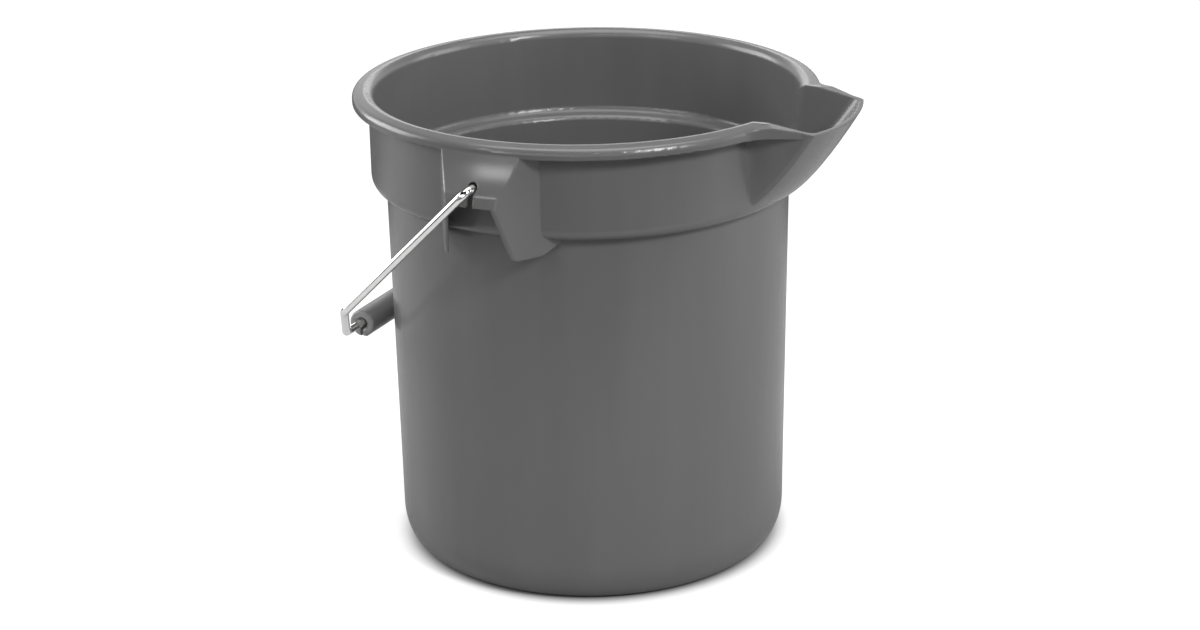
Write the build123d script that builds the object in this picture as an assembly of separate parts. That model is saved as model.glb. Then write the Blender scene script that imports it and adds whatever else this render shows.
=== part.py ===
from build123d import *
import math
import os

# A round moulded bucket with a flared pour spout, two box-shaped ears and a wire bail with a grip.
# Frame: origin at the centre of the foot ring, +Z up, +X towards the spout, ears on -Y and +Y.
# All sizes are in millimetres.

# Bucket wall
bucket_height = 260.0
foot_radius = 97.0
foot_ring_width = 7.0
base_recess = 2.0
floor_thickness = 3.4
heel_width = 10.6
heel_height = 19.5
wall_flare = 2.5
wall_thickness = 3.3

# Shoulder band under the rim
shoulder_depth = 52.6
shoulder_step = 7.9
shoulder_wall = 3.1
shoulder_corner = 6.5
ledge_edge = 2.5

# Rim flange with its turned-down skirt
rim_overhang = 8.6
rim_fall_degrees = 11.5
rim_thickness = 3.8
rim_skirt_height = 6.7
rim_skirt_thickness = 2.6
rim_skirt_edge = 1.0
rim_corner = 3.0
rim_inner_edge = 4.5

# Pour spout
spout_width = 76.2
spout_draft_degrees = 3.4
spout_splay_degrees = 4.0
spout_projection = 25.8
spout_nose_radius = 94.4
spout_wall = 2.7
spout_lip_drop = 5.4
spout_keel_reach = 13.0
spout_keel_lift = 0.5
spout_crease = 3.0
spout_crease_inside = 6.0
spout_root_blend = 8.0
spout_root_sink = 0.05
spout_band_width = 8.5
spout_band_blend = 16.0

# Bail ears
ear_root_width = 56.6
ear_lip_width = 28.2
ear_projection = 12.0
ear_panel = 2.8
ear_gusset = 1.8
ear_top_drop = 4.0
ear_top_sink = 0.3
ear_hollow = 1.35
ear_lip_drop = 30.5
ear_lip_height = 6.2
ear_lip_slope = 1.8
ear_tip_inset = 9.1
ear_tip_drop = 7.9
ear_tip_round = 3.0
ear_edge = 1.5
ear_lip_edge = 2.5

# Bail hole in each ear, with its snap-in slot
hole_drop = 21.3
hole_clearance = 0.6
slot_width = 3.6

# Bail wire
wire_diameter = 4.5
wire_sag = 0.3
bail_depth = 165.4
bail_ear_gap = 0.3
bail_taper = 2.5
bail_arm = 106.0
bail_neck = 16.5
pivot_bend = 5.0
shoulder_bend = 10.0
grip_bend = 10.0
head_diameter = 8.4
head_thickness = 2.4
head_gap = 0.8

# Grip sleeve
grip_length = 104.0
grip_diameter = 15.2
grip_end_round = 1.6
grip_bore_clearance = 0.8
grip_seat_gap = 0.2
grip_mouth = 1.2
grip_slit = 1.7
grip_lip = 1.2
grip_lip_rise = 0.4
grip_wall_gap = 0.4

# Places worked out from the sizes above
wall_foot_radius = foot_radius + heel_width
wall_top_radius = wall_foot_radius + wall_flare
shoulder_z = bucket_height - shoulder_depth
shoulder_round = min(shoulder_corner, 0.85 * shoulder_step)
shoulder_radius = wall_top_radius + shoulder_step
rim_radius = shoulder_radius + rim_overhang
rim_fall = math.radians(rim_fall_degrees)
mouth_radius = shoulder_radius - shoulder_wall + rim_inner_edge
skirt_z = bucket_height - rim_skirt_height
channel_z = bucket_height - rim_thickness
floor_z = base_recess + floor_thickness
ledge_z = shoulder_z + wall_thickness
spout_reach = rim_radius + spout_projection
spout_axis_x = spout_reach - spout_nose_radius
spout_half = spout_width / 2
spout_corner_x = spout_axis_x + math.sqrt(spout_nose_radius**2 - spout_half**2)
ear_reach = rim_radius + ear_projection
ear_lip_z = bucket_height - ear_lip_drop
ear_top = Vector(rim_radius - ear_top_sink, bucket_height - ear_top_drop)
ear_lip_top = Vector(ear_reach - ear_lip_slope, ear_lip_z + ear_lip_height)
hole_z = bucket_height - hole_drop
pivot_z = hole_z - wire_sag
wire_radius = wire_diameter / 2
grip_radius = grip_diameter / 2
grip_sag = grip_bore_clearance - grip_seat_gap
outside = 2 * bucket_height


def rim_top_at(radius):
    """Height of the rim's top, which falls outwards."""
    over_mouth = bucket_height + rim_inner_edge * (1 / math.cos(rim_fall) - 1)
    return over_mouth - (radius - mouth_radius) * math.tan(rim_fall)


def closed_face(parts):
    """The face inside a ring of lines and arcs."""
    return make_face([edge for part in parts for edge in part.edges()])


def around_axis(face, x=0.0):
    """Turns a face drawn in the radius-height plane about the upright axis at x."""
    return Pos(x, 0, 0) * Rot(0, 0, 180) * revolve(Plane.XZ * face, Axis.Z)


def upright(face, low, high):
    """Raises a face drawn in plan from height low to height high."""
    return Pos(0, 0, low) * extrude(face, amount=high - low)


# The bucket's outside form, turned about the axis and filled to it
def bucket_outside():
    foot_inner = foot_radius - foot_ring_width
    skirt_inner = rim_radius - rim_skirt_thickness
    corner_start = shoulder_radius - shoulder_round
    corner_end = shoulder_z + shoulder_round
    base = Polyline(
        (0, base_recess), (foot_inner - base_recess, base_recess), (foot_inner, 0), (foot_radius, 0)
    )
    heel = EllipticalCenterArc((foot_radius, heel_height), heel_width, heel_height, 270, arc_size=90)
    wall = Polyline(
        (wall_foot_radius, heel_height), (wall_top_radius, shoulder_z), (corner_start, shoulder_z)
    )
    corner = CenterArc((corner_start, corner_end), shoulder_round, 270, 90)
    rim_underside = Polyline(
        (shoulder_radius, corner_end),
        (shoulder_radius, channel_z),
        (skirt_inner, channel_z),
        (skirt_inner, skirt_z),
        (rim_radius - rim_skirt_edge, skirt_z),
    )
    skirt_round = CenterArc(
        (rim_radius - rim_skirt_edge, skirt_z + rim_skirt_edge), rim_skirt_edge, 270, 90
    )
    round_x = rim_radius - rim_corner
    round_z = rim_top_at(round_x) - rim_corner / math.cos(rim_fall)
    skirt = Line((rim_radius, skirt_z + rim_skirt_edge), (rim_radius, round_z))
    rim_round = CenterArc((round_x, round_z), rim_corner, 0, 90 - rim_fall_degrees)
    top = Polyline(rim_round @ 1, (0, rim_top_at(0)), (0, base_recess))
    rim = [rim_underside, skirt_round, skirt, rim_round]
    return around_axis(closed_face([base, heel, wall, corner, *rim, top]))


# The bucket's hollow, turned about the axis and running on past the rim
def bucket_hollow():
    inner_foot = wall_foot_radius - wall_thickness
    inner_top = wall_top_radius - wall_thickness
    inner_shoulder = shoulder_radius - shoulder_wall
    inner_corner = shoulder_round - shoulder_wall
    corner_start = inner_shoulder - inner_corner
    corner_end = ledge_z + inner_corner
    edge_z = bucket_height - rim_inner_edge
    heel_x = heel_width - wall_thickness
    heel_z = heel_height - floor_z
    floor = Line((0, floor_z), (foot_radius, floor_z))
    heel = EllipticalCenterArc((foot_radius, heel_height), heel_x, heel_z, 270, arc_size=90)
    wall = Line((inner_foot, heel_height), (inner_top, ledge_z - ledge_edge))
    ledge_round = CenterArc((inner_top + ledge_edge, ledge_z - ledge_edge), ledge_edge, 180, -90)
    ledge = Line((inner_top + ledge_edge, ledge_z), (corner_start, ledge_z))
    corner = CenterArc((corner_start, corner_end), inner_corner, 270, 90)
    upper = Line((inner_shoulder, corner_end), (inner_shoulder, edge_z))
    edge_round = CenterArc((mouth_radius, edge_z), rim_inner_edge, 180, -90 - rim_fall_degrees)
    edge_end = edge_round @ 1
    top = Polyline(edge_end, (edge_end.X, outside), (0, outside), (0, floor_z))
    return around_axis(
        closed_face([floor, heel, wall, ledge_round, ledge, corner, upper, edge_round, top])
    )


# The spout's form: a bowl turned about its own upright axis, cut to width by two leaning sides.
# The same form set in by the wall gives its hollow.
def spout_form(inset, keel_rise, ring_radius, crease):
    lip = Vector(spout_nose_radius - inset, bucket_height - spout_lip_drop)
    keel_z = shoulder_z + spout_keel_lift + keel_rise
    keel_start = Vector(shoulder_radius - shoulder_round - inset - spout_axis_x, keel_z)
    keel_end = keel_start + Vector(spout_keel_reach, 0)
    over_lip = lip + (lip - keel_end).normalized() * (4 * spout_lip_drop)
    keel = Bezier(keel_start, keel_end, lip)
    rest = Polyline(lip, over_lip, (0, over_lip.Y), (0, keel_z), keel_start)
    bowl = around_axis(closed_face([keel, rest]), spout_axis_x)
    form = bowl & spout_sides(inset, ring_radius, over_lip.Y + spout_lip_drop)
    creases = [edge for edge in form.edges() if is_crease(edge, keel_z, lip.Y)]
    return fillet(creases, crease)


def root_arc(ring, blend, end, along):
    """The arc that leads from a ring about the axis into a line through end, running along a direction."""
    away = Vector(-along.Y, along.X)
    off_line = away.dot(end) + blend
    centre = away * off_line + along * math.sqrt((ring + blend) ** 2 - off_line**2)
    middle = centre - (centre.normalized() + away).normalized() * blend
    return ThreePointArc(centre * (ring / (ring + blend)), middle, centre - away * blend)


def spout_sides(inset, ring_radius, top_z):
    """The room between the spout's sides, which spread towards the wall and leave it by an arc."""
    lean = math.radians(spout_draft_degrees)
    splay = math.radians(spout_splay_degrees)
    half = spout_half + (top_z - bucket_height) * math.tan(lean) - inset / math.cos(lean)
    along = Vector(math.cos(splay), -math.sin(splay))
    far = Vector(spout_corner_x, half) + along * spout_width
    blend = root_arc(ring_radius - spout_root_sink, spout_root_blend + inset, far, along)
    root_y = (blend @ 0).Y
    side = [Line((spout_axis_x, root_y), blend @ 0), blend, Line(blend @ 1, far)]
    other = [mirror(edge, Plane.XZ) for edge in side]
    ends = [Line((x, -y), (x, y)) for x, y in ((spout_axis_x, root_y), (far.X, far.Y))]
    plan = Pos(0, 0, top_z) * closed_face(side + other + ends)
    return extrude(plan, amount=top_z, dir=(0, 0, -1), taper=spout_draft_degrees)


def is_crease(edge, keel_z, lip_z):
    """True for the edges where the bowl rises along a side."""
    middle = edge @ 0.5
    rises = abs((edge @ 0).Z - (edge @ 1).Z) > 1
    beside = abs(middle.Y) > spout_half / 2
    past_root = middle.X > (spout_axis_x + shoulder_radius) / 2
    return rises and beside and past_root and keel_z < middle.Z < lip_z


def above_lip():
    """What is cut off over the spout's lip, which falls from the height of the rim to the nose."""
    start = math.sqrt(rim_radius**2 - spout_half**2)
    slope = spout_lip_drop / (spout_reach - start)
    end = spout_reach + spout_width
    low = bucket_height - slope * (end - start)
    side = Polyline((0, bucket_height), (start, bucket_height), (end, low), (end, outside), (0, outside))
    close = Line((0, outside), (0, bucket_height))
    return extrude(Plane.XZ * closed_face([side, close]), amount=outside, both=True)


def band_ramp(root_y):
    """The room under a top that climbs from the rim's outer edge at root_y to full height at the spout."""
    low_z = rim_top_at(rim_radius) - rim_corner / 4
    slope = (bucket_height - low_z) / (root_y - spout_half)
    end_y = root_y + rim_corner
    end_z = low_z - slope * rim_corner
    side = Polyline((0, 0), (end_y, 0), (end_y, end_z), (0, low_z + slope * root_y), close=True)
    return extrude(Plane.YZ * make_face(side), amount=outside)


# The rim's skirt runs on along each side of the spout, from an arc at its root, and dies out at the nose
def spout_band(side):
    start_y = spout_half + spout_band_width
    start = Vector(math.sqrt(rim_radius**2 - start_y**2), start_y)
    end = Vector(spout_corner_x - spout_crease, spout_half - spout_wall / 4)
    blend = root_arc(rim_radius - spout_root_sink, spout_band_blend, end, (end - start).normalized())
    root_y = (blend @ 0).Y
    root_x = math.sqrt(shoulder_radius**2 - root_y**2) - shoulder_wall / 2
    inner_y = spout_half - spout_wall
    rest = Polyline(blend @ 1, end, (end.X, inner_y), (root_x, inner_y), (root_x, root_y), blend @ 0)
    band = upright(closed_face([blend, rest]), skirt_z, bucket_height) & band_ramp(root_y)
    return band if side > 0 else mirror(band, Plane.XZ)


def ear_panel_arc(inset):
    """The hollow sweep of the ear's front panel, set back by inset."""
    chord = (ear_lip_top - ear_top).normalized()
    back = Vector(chord.Y, -chord.X)
    middle = (ear_top + ear_lip_top) * 0.5 + back * ear_hollow
    shift = back * inset
    return ThreePointArc(ear_top + shift, middle + shift, ear_lip_top + shift)


# The ear's outline in the radius-height plane, turned about the bucket's axis
def ear_block():
    tip = Vector(ear_reach - ear_tip_inset, shoulder_z - ear_tip_drop)
    lip = Vector(ear_reach, ear_lip_z)
    root = wall_top_radius - wall_thickness
    top_z = channel_z + rim_thickness / 2
    panel = ear_panel_arc(0)
    # The gusset's free edge runs back from the lip to a rounded tip below the shoulder
    edge_way = (tip - lip).normalized()
    edge_end = tip - edge_way * ear_tip_round
    under_start = tip - Vector(ear_tip_round, 0)
    front = Polyline(ear_lip_top, lip, edge_end)
    tip_arc = TangentArc(edge_end, under_start, tangent=edge_way)
    rest = Polyline(
        under_start,
        (shoulder_radius, tip.Y),
        (wall_top_radius, shoulder_z - ear_tip_drop / 3),
        (root, shoulder_z),
        (root, top_z),
        (rim_radius - rim_corner, top_z),
        ear_top,
    )
    return around_axis(closed_face([panel, front, tip_arc, rest]))


# The room behind the ear's panel, open downwards
def ear_pocket():
    panel = ear_panel_arc(ear_panel)
    start = panel @ 0
    end = panel @ 1
    top_z = channel_z + rim_thickness / 4
    rest = Polyline(
        end,
        (ear_reach - ear_panel, ear_lip_z),
        (outside, ear_lip_z),
        (outside, 0),
        (0, 0),
        (0, top_z),
        (start.X, top_z),
        start,
    )
    return around_axis(closed_face([panel, rest]))


def ear_wedge(inset):
    """The space between the ear's two gussets, which draw together outwards, set in by a thickness."""
    root_half = ear_root_width / 2
    lip_half = ear_lip_width / 2
    root_y = math.sqrt(shoulder_radius**2 - root_half**2)
    lip_y = math.sqrt(ear_reach**2 - lip_half**2)
    draw_in = (root_half - lip_half) / (lip_y - root_y)
    side_inset = inset * math.sqrt(1 + draw_in**2)
    near_y = wall_top_radius / 2
    far_y = ear_reach + ear_projection
    near_half = root_half + draw_in * (root_y - near_y) - side_inset
    far_half = root_half - draw_in * (far_y - root_y) - side_inset
    corners = [(-near_half, near_y), (near_half, near_y), (far_half, far_y), (-far_half, far_y)]
    plan = make_face(Polyline(*corners, close=True))
    return upright(plan, 0, bucket_height)


def head_face():
    """How far out the bail's head reaches behind the ear's panel, clear of it by the head gap."""
    slope = (ear_lip_top.X - ear_top.X) / (ear_top.Y - ear_lip_top.Y)
    chord = ear_top.X + slope * (ear_top.Y - pivot_z - head_diameter / 2)
    return chord - (ear_hollow + ear_panel) * math.sqrt(1 + slope**2) - head_gap


def is_ear_edge(edge):
    """True for the free edges between a gusset's outer face and the panel, lip or tip."""
    middle = edge @ 0.5
    radius = math.hypot(middle.X, middle.Y)
    return middle.Z < skirt_z and radius > shoulder_radius and abs(middle.X) > ear_lip_width / 4


def is_lip_line(edge):
    """True for the edge across the ear where its panel meets the front of its lip."""
    middle = edge @ 0.5
    beside = abs(middle.X) + abs(middle.Y - ear_lip_top.X) + abs(middle.Z - ear_lip_top.Y)
    return beside < ear_lip_edge / 4


# The ear on +Y: two gussets and a sloped panel round an open pocket, with the bail hole and its slot
def ear():
    block = ear_block() & ear_wedge(0)
    block = fillet([edge for edge in block.edges() if is_lip_line(edge)], ear_lip_edge)
    block = fillet([edge for edge in block.edges() if is_ear_edge(edge)], ear_edge)
    shell = block - (ear_pocket() & ear_wedge(ear_gusset))
    hole_start = (shoulder_radius + head_face()) / 2
    hole = Rot(-90, 0, 0) * Cylinder(
        wire_radius + hole_clearance, ear_reach, align=(Align.CENTER, Align.CENTER, Align.MIN)
    )
    slot = Box(slot_width, ear_reach, ear_lip_drop, align=(Align.CENTER, Align.MIN, Align.MAX))
    return shell - Pos(0, hole_start, hole_z) * (hole + slot)


def bucket_body():
    rear_ear = ear()
    front_ear = mirror(rear_ear, Plane.XZ)
    lip_cut = above_lip()
    inner_shoulder = shoulder_radius - shoulder_wall
    spout = spout_form(0, 0, shoulder_radius, spout_crease) - lip_cut
    spout_hollow = spout_form(spout_wall, wall_thickness, inner_shoulder, spout_crease_inside)
    bands = [spout_band(side) - lip_cut for side in (-1, 1)]
    form = bucket_outside() + rear_ear + front_ear + spout + bands
    return form - bucket_hollow() - spout_hollow


def wall_radius_at(z):
    """Outer radius of the main wall at height z."""
    share = (z - heel_height) / (shoulder_z - heel_height)
    return wall_foot_radius + wall_flare * share


def hang_angle():
    """How far below level the bail hangs, in radians, with its grip against the wall."""
    angle = math.pi / 4
    for _ in range(20):
        wall = wall_radius_at(pivot_z - bail_depth * math.sin(angle) - grip_sag)
        angle = math.acos((wall + grip_wall_gap + grip_lip_rise + grip_radius) / bail_depth)
    return angle


# The bail: one wire bent flat, headed at both ends, then swung down to where it rests
def bail_wire():
    head_y = head_face() - head_thickness / 2
    # The arms lean in towards the grip and still pass the ear's lip with the gap
    lip_along = (pivot_z - ear_lip_z) / math.sin(hang_angle())
    span = ear_reach + wire_radius + bail_ear_gap + bail_taper * lip_along / bail_arm
    half = [
        (0, head_y),
        (0, span),
        (-bail_arm, span - bail_taper),
        (-bail_depth, grip_length / 2 + bail_neck),
    ]
    points = half + [(x, -y) for x, y in reversed(half)]
    bends = [pivot_bend, shoulder_bend, grip_bend]
    path = FilletPolyline(*points, radius=bends + bends[::-1])
    section = Plane(origin=(0, head_y, 0), z_dir=(0, 1, 0)) * Circle(wire_radius)
    wire = sweep(section, path=path)
    head = Rot(-90, 0, 0) * Cylinder(head_diameter / 2, head_thickness)
    head = Pos(0, head_y, 0) * fillet(head.edges(), head_thickness / 4)
    bail = wire + head + mirror(head, Plane.XZ)
    return Pos(0, 0, pivot_z) * Rot(0, -math.degrees(hang_angle()), 0) * bail


# The grip: a sleeve slit along its underside, with a bead at each side of the slit
def handle_grip():
    sleeve = Cylinder(grip_radius, grip_length)
    sleeve = fillet(sleeve.edges(), grip_end_round)
    bead_x = grip_slit / 2 + grip_lip
    bead_y = -math.sqrt((grip_radius + grip_lip_rise - grip_lip) ** 2 - bead_x**2)
    bead = Cylinder(grip_lip, grip_length - 2 * grip_end_round)
    for side in (-1, 1):
        sleeve += Pos(side * bead_x, bead_y, 0) * bead
    bore_radius = wire_radius + grip_bore_clearance
    mouth = Pos(0, 0, grip_length / 2) * Cone(
        bore_radius, bore_radius + grip_mouth, grip_mouth, align=(Align.CENTER, Align.CENTER, Align.MAX)
    )
    slit = Box(grip_slit, grip_diameter, outside, align=(Align.CENTER, Align.MAX, Align.CENTER))
    sleeve = sleeve - Cylinder(bore_radius, outside) - mouth - mirror(mouth, Plane.XY) - slit
    return Pos(*grip_place()) * Rot(90, 0, 0) * sleeve


def grip_place():
    """Centre of the grip with the bail at rest, hanging on the wire by the top of its bore."""
    angle = hang_angle()
    return (-bail_depth * math.cos(angle), 0, pivot_z - bail_depth * math.sin(angle) - grip_sag)


os.makedirs("parts", exist_ok=True)
pieces = {
    "bucket_body": bucket_body(),
    "bail_wire": bail_wire(),
    "handle_grip": handle_grip(),
}
for name, piece in pieces.items():
    print(name, "solids", len(piece.solids()), "volume", round(piece.volume))
    export_step(piece, f"parts/{name}.step")
print("pivot height", round(pivot_z, 3))
print("bail hangs", round(math.degrees(hang_angle()), 3), "degrees below level")
print("grip centre", [round(value, 3) for value in grip_place()])
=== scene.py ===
# %% [markdown]
# # A grey utility bucket, dressed in Blender
# The object is a round moulded bucket with a pour spout, a plated wire bail that hangs to one side,
# and a snap-on grip in the middle of the bail. The shapes come ready made from a CAD model that is
# loaded as a fixed frame, in metres, with the foot ring standing on Z = 0, the spout on +X and the
# two bail ears on plus and minus Y. What is left for this lesson is everything that makes plastic look
# like plastic and plating look like plating: a camera, a studio, and three finishes with real grain.

# %% Load the frame
import math

import bpy
from mathutils import Matrix, Vector

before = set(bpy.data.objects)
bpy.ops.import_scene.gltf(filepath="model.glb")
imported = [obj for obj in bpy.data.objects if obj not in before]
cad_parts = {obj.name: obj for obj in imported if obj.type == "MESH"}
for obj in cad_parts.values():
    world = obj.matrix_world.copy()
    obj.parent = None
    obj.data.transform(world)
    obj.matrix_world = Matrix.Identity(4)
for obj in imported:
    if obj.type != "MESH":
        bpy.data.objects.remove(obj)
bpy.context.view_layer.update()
bucket_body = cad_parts["bucket_body"]
bail_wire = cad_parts["bail_wire"]
handle_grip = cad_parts["handle_grip"]
scene = bpy.context.scene

# %% [markdown]
# ## The camera
# The picture was taken from above the rim, to the right of the front ear, so that the spout points to
# the right and a little forwards. A camera can be placed by eye, but here its place follows from the
# ellipses of the rim, shoulder and foot: their flatness gives the height, and the ears and the spout
# give the turn. The small shift puts the bucket where it stands in the frame, and the roll is the
# camera's own tilt.

# %% Set up the camera
camera_distance = 1.5
camera_height_angle = math.radians(20.02)
camera_turn = math.radians(25.7)
camera_roll = math.radians(-1.01)
aim_point = Vector((0.0, 0.0, 0.130))

camera_data = bpy.data.cameras.new("photo_camera")
camera_data.sensor_width = 36.0
camera_data.lens = 80.7
camera_data.shift_x = 0.00824
camera_data.shift_y = -0.00627
camera_data.clip_start = 0.01
camera_data.clip_end = 60.0
camera = bpy.data.objects.new("photo_camera", camera_data)
scene.collection.objects.link(camera)
level_reach = camera_distance * math.cos(camera_height_angle)
camera.location = aim_point + Vector((
    level_reach * math.sin(camera_turn),
    -level_reach * math.cos(camera_turn),
    camera_distance * math.sin(camera_height_angle),
))
look = (aim_point - camera.location).to_track_quat("-Z", "Y").to_matrix().to_4x4()
camera.matrix_world = Matrix.Translation(camera.location) @ look @ Matrix.Rotation(camera_roll, 4, "Z")
scene.camera = camera
print("camera at", [round(value, 3) for value in camera.location], "lens", camera_data.lens)

# %% [markdown]
# ## Small tools for nodes
# The floor, the backdrop and each finish are small networks of nodes. Adding a node, setting its sockets
# and wiring it takes several lines in plain Blender code, so a few helpers do that, and the networks stay
# readable. The first adds any node, the second changes a level along with a value, and the third does
# arithmetic with two outputs.

# %% Helpers for nodes
def add_node(tree, kind, sockets=None, **settings):
    """One node with its settings, and with its input sockets set to a value or wired from an output."""
    node = tree.nodes.new(kind)
    for setting, value in settings.items():
        setattr(node, setting, value)
    for socket, value in (sockets or {}).items():
        if isinstance(value, bpy.types.NodeSocket):
            tree.links.new(value, node.inputs[socket])
        else:
            node.inputs[socket].default_value = value
    return node


def fade(tree, value, start, end, level_at_start, level_at_end, course="SMOOTHSTEP"):
    """A level that changes while the value runs from start to end, softly unless another course is named."""
    sockets = {
        "Value": value,
        "From Min": start,
        "From Max": end,
        "To Min": level_at_start,
        "To Max": level_at_end,
    }
    return add_node(tree, "ShaderNodeMapRange", sockets, interpolation_type=course).outputs["Result"]


def combine(tree, operation, first, second):
    """The sum, the product or the larger one of two outputs."""
    return add_node(tree, "ShaderNodeMath", {0: first, 1: second}, operation=operation).outputs[0]


print("helpers ready: add_node, fade and combine")

# %% [markdown]
# ## The floor
# A catalogue picture stands on a white sweep with nothing behind it. A floor that is lit up to white
# would need lamps that bleach the bucket, so the floor keeps a grey paint, and a glow that only the eye
# sees lifts it to white. Close to the foot the glow fades out so that the real shadow shows, and a
# painted shadow darkens the paint into a dark line where the bucket stands.
# A satin wall mirrors the floor as well, and the wall in the picture is bright at its flanks and dim in
# the middle. So the paint is a strip that runs from left to right under the bucket, with a weak glow for
# mirrors, and the floor before and behind it is darker to them. To the eye it is white all over.

# %% Build the floor
floor_half_width = 7.0
floor_mesh = bpy.data.meshes.new("floor")
floor_mesh.from_pydata(
    [
        (-floor_half_width, -floor_half_width, 0.0),
        (floor_half_width, -floor_half_width, 0.0),
        (floor_half_width, floor_half_width, 0.0),
        (-floor_half_width, floor_half_width, 0.0),
    ],
    [],
    [(0, 1, 2, 3)],
)
floor = bpy.data.objects.new("floor", floor_mesh)
scene.collection.objects.link(floor)
print("floor", 2 * floor_half_width, "m wide")

# %% Paint the floor
strip_paint = 0.50
paint_past_strip = 0.12
# A painted shadow: the paint darkens to this tone in a ring at the foot, where the bucket stands.
painted_foot_shadow_tone = 0.15
# Where a level changes, in metres from the strip's middle line or from the bucket's axis.
strip_edge = (0.36, 0.62)
painted_foot_shadow_edge = (0.095, 0.107)

floor_paint = bpy.data.materials.new("floor_paint")
floor_paint.use_nodes = True
floor_tree = floor_paint.node_tree
floor_tree.nodes.clear()
floor_place = add_node(floor_tree, "ShaderNodeTexCoord").outputs["Object"]
reach = add_node(floor_tree, "ShaderNodeVectorMath", {0: floor_place}, operation="LENGTH").outputs["Value"]
depth = add_node(floor_tree, "ShaderNodeVectorMath", {0: floor_place}, operation="DOT_PRODUCT")
depth.inputs[1].default_value = (math.sin(camera_turn), -math.cos(camera_turn), 0.0)
either_way = add_node(floor_tree, "ShaderNodeMath", {0: depth.outputs["Value"]}, operation="ABSOLUTE")
off_strip = either_way.outputs[0]
# The strip's paint, with a painted shadow darkening it in a ring at the foot.
paint_and_painted_foot_shadow = combine(
    floor_tree,
    "MULTIPLY",
    fade(floor_tree, off_strip, *strip_edge, strip_paint, paint_past_strip),
    fade(floor_tree, reach, *painted_foot_shadow_edge, painted_foot_shadow_tone, 1.0),
)
floor_matte = add_node(floor_tree, "ShaderNodeBsdfDiffuse", {"Color": paint_and_painted_foot_shadow})
print("paint", strip_paint, "on the strip and", paint_past_strip, "past it, darkened at the foot")

# %% Let the floor glow for the eye
glow_level = 0.70
far_glow_level = 0.30
glow_edge = (0.098, 0.114)
lamp_reach = (0.45, 1.2)

near_glow = fade(floor_tree, reach, *glow_edge, 0.0, glow_level)
far_glow = combine(
    floor_tree,
    "MAXIMUM",
    fade(floor_tree, off_strip, *strip_edge, 0.0, far_glow_level),
    fade(floor_tree, reach, *lamp_reach, 0.0, far_glow_level),
)
floor_path = add_node(floor_tree, "ShaderNodeLightPath")
whole_glow = combine(floor_tree, "ADD", near_glow, far_glow)
to_the_eye = combine(floor_tree, "MULTIPLY", floor_path.outputs["Is Camera Ray"], whole_glow)
print("glow", glow_level, "near the bucket and", glow_level + far_glow_level, "away from it")

# %% Let mirrors see the floor
mirror_level = 0.12
mirror_edge = (0.105, 0.16)


def seen_in_mirrors(tree, path):
    """1 for rays from a mirror or through glass, 0 for the rest."""
    return combine(tree, "MAXIMUM", path.outputs["Is Glossy Ray"], path.outputs["Is Transmission Ray"])


mirrored = combine(
    floor_tree,
    "MULTIPLY",
    fade(floor_tree, off_strip, *strip_edge, mirror_level, 0.0),
    fade(floor_tree, reach, *mirror_edge, 0.0, 1.0),
)
to_mirrors = combine(floor_tree, "MULTIPLY", seen_in_mirrors(floor_tree, floor_path), mirrored)
floor_light = combine(floor_tree, "ADD", to_the_eye, to_mirrors)
floor_glow = add_node(floor_tree, "ShaderNodeEmission", {"Strength": floor_light})
floor_layers = {0: floor_matte.outputs["BSDF"], 1: floor_glow.outputs["Emission"]}
floor_sum = add_node(floor_tree, "ShaderNodeAddShader", floor_layers)
add_node(floor_tree, "ShaderNodeOutputMaterial", {"Surface": floor_sum.outputs["Shader"]})
floor_mesh.materials.append(floor_paint)
print("glow", mirror_level, "for mirrors on the strip")

# %% [markdown]
# ## The white sweep
# A world that is white all round would be the quick way to a white backdrop, but a studio's sweep ends
# at some height and the room behind the camera is dim, and both show in the shines of satin plastic and
# plated wire. So the world is white to look at. For mirrors it is white behind the bucket up to the top
# of the sweep and low down all round, and dim elsewhere, which keeps the near rim's top dark.

# %% Hang the white sweep
dim_level = 0.12
# Where the sweep ends, as the share of a ray's way that leads off from the camera, and then upwards.
sweep_side = (0.20, 0.60)
sweep_top = (0.34, 0.52)
horizon_band = (0.10, 0.26)

world = bpy.data.worlds.new("white_sweep")
scene.world = world
world.use_nodes = True
world_tree = world.node_tree
world_tree.nodes.clear()
ray_way = add_node(world_tree, "ShaderNodeTexCoord").outputs["Generated"]
away = add_node(world_tree, "ShaderNodeVectorMath", {0: ray_way}, operation="DOT_PRODUCT")
away.inputs[1].default_value = (-math.sin(camera_turn), math.cos(camera_turn), 0.0)
upwards = add_node(world_tree, "ShaderNodeSeparateXYZ", {"Vector": ray_way}).outputs["Z"]
behind = fade(world_tree, away.outputs["Value"], *sweep_side, dim_level, 1.0)
below_top = fade(world_tree, upwards, *sweep_top, 1.0, dim_level)
low_down = fade(world_tree, upwards, *horizon_band, 1.0, 0.0)
backdrop = combine(world_tree, "MULTIPLY", behind, below_top)
sweep_tone = combine(world_tree, "MAXIMUM", backdrop, low_down)
world_path = add_node(world_tree, "ShaderNodeLightPath")
for_mirrors = combine(world_tree, "MULTIPLY", sweep_tone, seen_in_mirrors(world_tree, world_path))
sweep_level = combine(world_tree, "MAXIMUM", for_mirrors, world_path.outputs["Is Camera Ray"])
sweep = add_node(world_tree, "ShaderNodeBackground", {"Strength": sweep_level})
add_node(world_tree, "ShaderNodeOutputWorld", {"Surface": sweep.outputs["Background"]})
scene.view_settings.view_transform = "Standard"
print("sweep is white to look at, and fades to", dim_level, "or less in mirrors")

# %% [markdown]
# ## The soft boxes
# Where a lamp stands can be read from the shines it leaves. The bright patch on the front ear's panel
# mirrors a small box on the left. The lighter right half of the wall faces the key box, to the right of
# the camera, and the flanks need a box on each side. A box beside the camera reaches the far inside
# wall, and one near the floor reaches under the rim and the shoulder. A low one behind draws the thin
# bright line along the inner edge of the rim, and one on a boom over the mouth lights the inside from
# above. Each of them but the last is placed by its turn from the camera, its height angle and its
# distance, as a photographer would say it.

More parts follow.
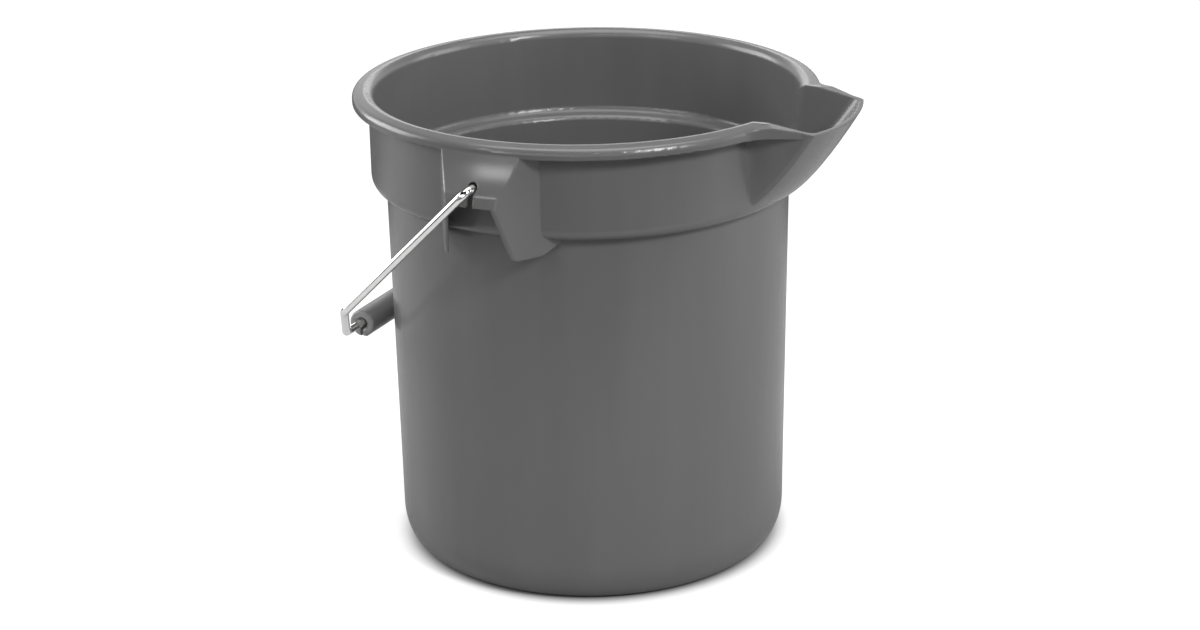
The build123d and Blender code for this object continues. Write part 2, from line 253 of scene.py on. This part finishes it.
# %% Hang the soft boxes
def from_camera(turn_degrees, height_degrees, distance):
    """A place seen from the bucket, turned that far to the right of the camera and raised."""
    turn = camera_turn + math.radians(turn_degrees)
    level = distance * math.cos(math.radians(height_degrees))
    rise = distance * math.sin(math.radians(height_degrees))
    return aim_point + Vector((level * math.sin(turn), -level * math.cos(turn), rise))


def soft_box(name, place, width, height, power):
    """A rectangular lamp of that size in metres and power in watts, turned towards the bucket."""
    lamp_data = bpy.data.lights.new(name, "AREA")
    lamp_data.shape = "RECTANGLE"
    lamp_data.size = width
    lamp_data.size_y = height
    lamp_data.energy = power
    lamp = bpy.data.objects.new(name, lamp_data)
    scene.collection.objects.link(lamp)
    lamp.location = place
    lamp.rotation_euler = (aim_point - place).to_track_quat("-Z", "Y").to_euler()
    return lamp


over_the_mouth = Vector((0.0, 0.0, 0.75))
soft_boxes = [
    soft_box("key_box", from_camera(41, 36, 1.8), 0.36, 0.36, 18.0),
    soft_box("front_box", from_camera(-14, 26, 1.85), 0.8, 0.6, 3.2),
    soft_box("low_front_box", from_camera(5, 3, 1.7), 0.9, 0.25, 2.6),
    soft_box("small_left_box", from_camera(-44, 31, 1.6), 0.5, 0.33, 4.2),
    soft_box("left_box", from_camera(-110, 18, 1.6), 1.1, 1.1, 22.0),
    soft_box("right_box", from_camera(95, 18, 1.6), 0.9, 1.1, 12.0),
    soft_box("back_box", from_camera(180, 20, 1.8), 0.8, 0.4, 1.5),
    soft_box("boom_box", over_the_mouth, 0.5, 0.5, 2.8),
]
print("soft boxes", [lamp.name for lamp in soft_boxes])

# %% [markdown]
# ## The bucket's plastic
# The body is one shot of dark grey polyethylene. The colour could be one flat grey, but moulded plastic
# never is: pigment streaks follow the flow of the melt up the wall, and the skin is neither quite even
# nor quite flat. So noise is used in three places: long flow streaks in the colour, clouds of a few
# centimetres in the gloss, and a relief of slow waves and fine grain. Edges that the mould leaves crisp
# are softened in the shading by a bevel, so that they catch a line of light as real moulded edges do.

# %% Helpers for finishes
def new_finish(name):
    """An empty node material with its shader and its output, and the place on the piece to read noise at."""
    material = bpy.data.materials.new(name)
    material.use_nodes = True
    tree = material.node_tree
    tree.nodes.clear()
    shader = add_node(tree, "ShaderNodeBsdfPrincipled")
    add_node(tree, "ShaderNodeOutputMaterial", {"Surface": shader.outputs["BSDF"]})
    place = add_node(tree, "ShaderNodeTexCoord").outputs["Object"]
    return material, tree, shader, place


def noise(tree, place, scale, detail=2.0, roughness=0.5):
    """Cloudy noise, with about as many clouds to one unit of place as the scale says."""
    sockets = {"Vector": place, "Scale": scale, "Detail": detail, "Roughness": roughness}
    return add_node(tree, "ShaderNodeTexNoise", sockets).outputs["Fac"]


def two_tones(tree, value, *stops):
    """A colour ramp between two stops, each of them a value and the colour there."""
    ramp = add_node(tree, "ShaderNodeValToRGB", {"Fac": value})
    for number, (position, colour) in enumerate(stops):
        ramp.color_ramp.elements[number].position = position
        ramp.color_ramp.elements[number].color = (*colour, 1.0)
    return ramp.outputs["Color"]


print("helpers ready: new_finish, noise and two_tones")

# %% Mix the bucket plastic
bucket_plastic, plastic_tree, plastic, plastic_place = new_finish("bucket_plastic")
flow_stretch = (1.0, 1.0, 0.12)
flow_place = add_node(plastic_tree, "ShaderNodeMapping", {"Vector": plastic_place, "Scale": flow_stretch})
flow_streaks = noise(plastic_tree, flow_place.outputs["Vector"], scale=38.0, detail=4.0, roughness=0.55)
dark_pigment = (0.112, 0.113, 0.112)
light_pigment = (0.124, 0.125, 0.124)
pigment = two_tones(plastic_tree, flow_streaks, (0.30, dark_pigment), (0.72, light_pigment))
plastic_tree.links.new(pigment, plastic.inputs["Base Color"])
print("pigment from", dark_pigment, "to", light_pigment)

# %% Give the plastic its gloss
# Most of a noise lies between these two values.
usual_noise = (0.3, 0.7)
plastic_roughness = (0.21, 0.27)
shine_clouds = noise(plastic_tree, plastic_place, scale=22.0, detail=5.0, roughness=0.6)
shine = fade(plastic_tree, shine_clouds, *usual_noise, *plastic_roughness, "LINEAR")
plastic_tree.links.new(shine, plastic.inputs["Roughness"])
print("roughness", plastic_roughness)

# %% Give the plastic its skin
def relief(tree, height, strength, depth, over=None):
    """A bump of that strength and depth in metres, laid over another normal if there is one."""
    sockets = {"Height": height, "Strength": strength, "Distance": depth}
    if over is not None:
        sockets["Normal"] = over
    return add_node(tree, "ShaderNodeBump", sockets).outputs["Normal"]


def dress(piece, finish):
    """Puts the finish on a piece, in place of the one it came with."""
    piece.data.materials.clear()
    piece.data.materials.append(finish)
    print(finish.name, "on", piece.name)


edge_radius = 0.0012
soft_edges = add_node(plastic_tree, "ShaderNodeBevel", {"Radius": edge_radius}, samples=4).outputs["Normal"]
skin_waves = noise(plastic_tree, plastic_place, scale=70.0, detail=1.0)
skin_grain = noise(plastic_tree, plastic_place, scale=1600.0)
wavy_skin = relief(plastic_tree, skin_waves, strength=0.05, depth=0.001, over=soft_edges)
grained_skin = relief(plastic_tree, skin_grain, strength=0.10, depth=0.0002, over=wavy_skin)
plastic_tree.links.new(grained_skin, plastic.inputs["Normal"])
dress(bucket_body, bucket_plastic)

# %% [markdown]
# ## The plated wire
# The bail is steel wire with a bright plated coat, drawn smooth and bent. Plating is a mirror with a
# faint haze, and the drawing die leaves fine lines along the wire. A noise that is stretched along the
# bail's arms gives the lines, and a rounder one breaks up the haze. A mapping node of the texture kind
# turns before it stretches, so the stretch can follow arms that hang at a slant.

# %% Haze the plating
bail_hang = math.radians(44.8)
plated_wire, wire_tree, plating, wire_place = new_finish("plated_wire")
wire_haze = noise(wire_tree, wire_place, scale=260.0, detail=3.0)
die_line_length = 1 / 30
die_line_width = 1 / 2400
along_arms = add_node(
    wire_tree,
    "ShaderNodeMapping",
    {
        "Vector": wire_place,
        "Rotation": (0.0, -bail_hang, 0.0),
        "Scale": (die_line_length, die_line_width, die_line_width),
    },
    vector_type="TEXTURE",
)
die_lines = noise(wire_tree, along_arms.outputs["Vector"], scale=1.0)
wire_texture = combine(wire_tree, "MULTIPLY", wire_haze, die_lines)
usual_product = (0.12, 0.42)
wire_roughness = (0.07, 0.16)
wire_shine = fade(wire_tree, wire_texture, *usual_product, *wire_roughness, "LINEAR")
wire_tree.links.new(wire_shine, plating.inputs["Roughness"])
print("roughness", wire_roughness)

# %% Plate the bail wire
dull_plating = (0.84, 0.84, 0.83)
bright_plating = (0.93, 0.93, 0.92)
wire_tint = two_tones(wire_tree, wire_haze, (0.30, dull_plating), (0.60, bright_plating))
wire_tree.links.new(wire_tint, plating.inputs["Base Color"])
plating.inputs["Metallic"].default_value = 1.0
dress(bail_wire, plated_wire)

# %% [markdown]
# ## The grip's plastic
# The grip is a sleeve of the same family of plastic, a little lighter and duller, snapped over the wire.
# One flat grey would do from afar. Close up its fine lines run along it, and hands have mottled its
# gloss, so one noise is stretched along the sleeve for colour and relief, and a round one sets the gloss.

# %% Mix the grip plastic
grip_plastic, grip_tree, sleeve, grip_place = new_finish("grip_plastic")
grip_stretch = (1.0, 0.05, 1.0)
along_grip = add_node(grip_tree, "ShaderNodeMapping", {"Vector": grip_place, "Scale": grip_stretch})
grip_lines = noise(grip_tree, along_grip.outputs["Vector"], scale=520.0, detail=3.0)
dark_grip = (0.262, 0.263, 0.262)
light_grip = (0.296, 0.297, 0.296)
grip_tone = two_tones(grip_tree, grip_lines, (0.30, dark_grip), (0.70, light_grip))
grip_tree.links.new(grip_tone, sleeve.inputs["Base Color"])
grip_roughness = (0.30, 0.42)
grip_mottle = noise(grip_tree, grip_place, scale=120.0, detail=4.0)
grip_shine = fade(grip_tree, grip_mottle, *usual_noise, *grip_roughness, "LINEAR")
grip_tree.links.new(grip_shine, sleeve.inputs["Roughness"])
lined_skin = relief(grip_tree, grip_lines, strength=0.15, depth=0.0003)
grip_tree.links.new(lined_skin, sleeve.inputs["Normal"])
dress(handle_grip, grip_plastic)
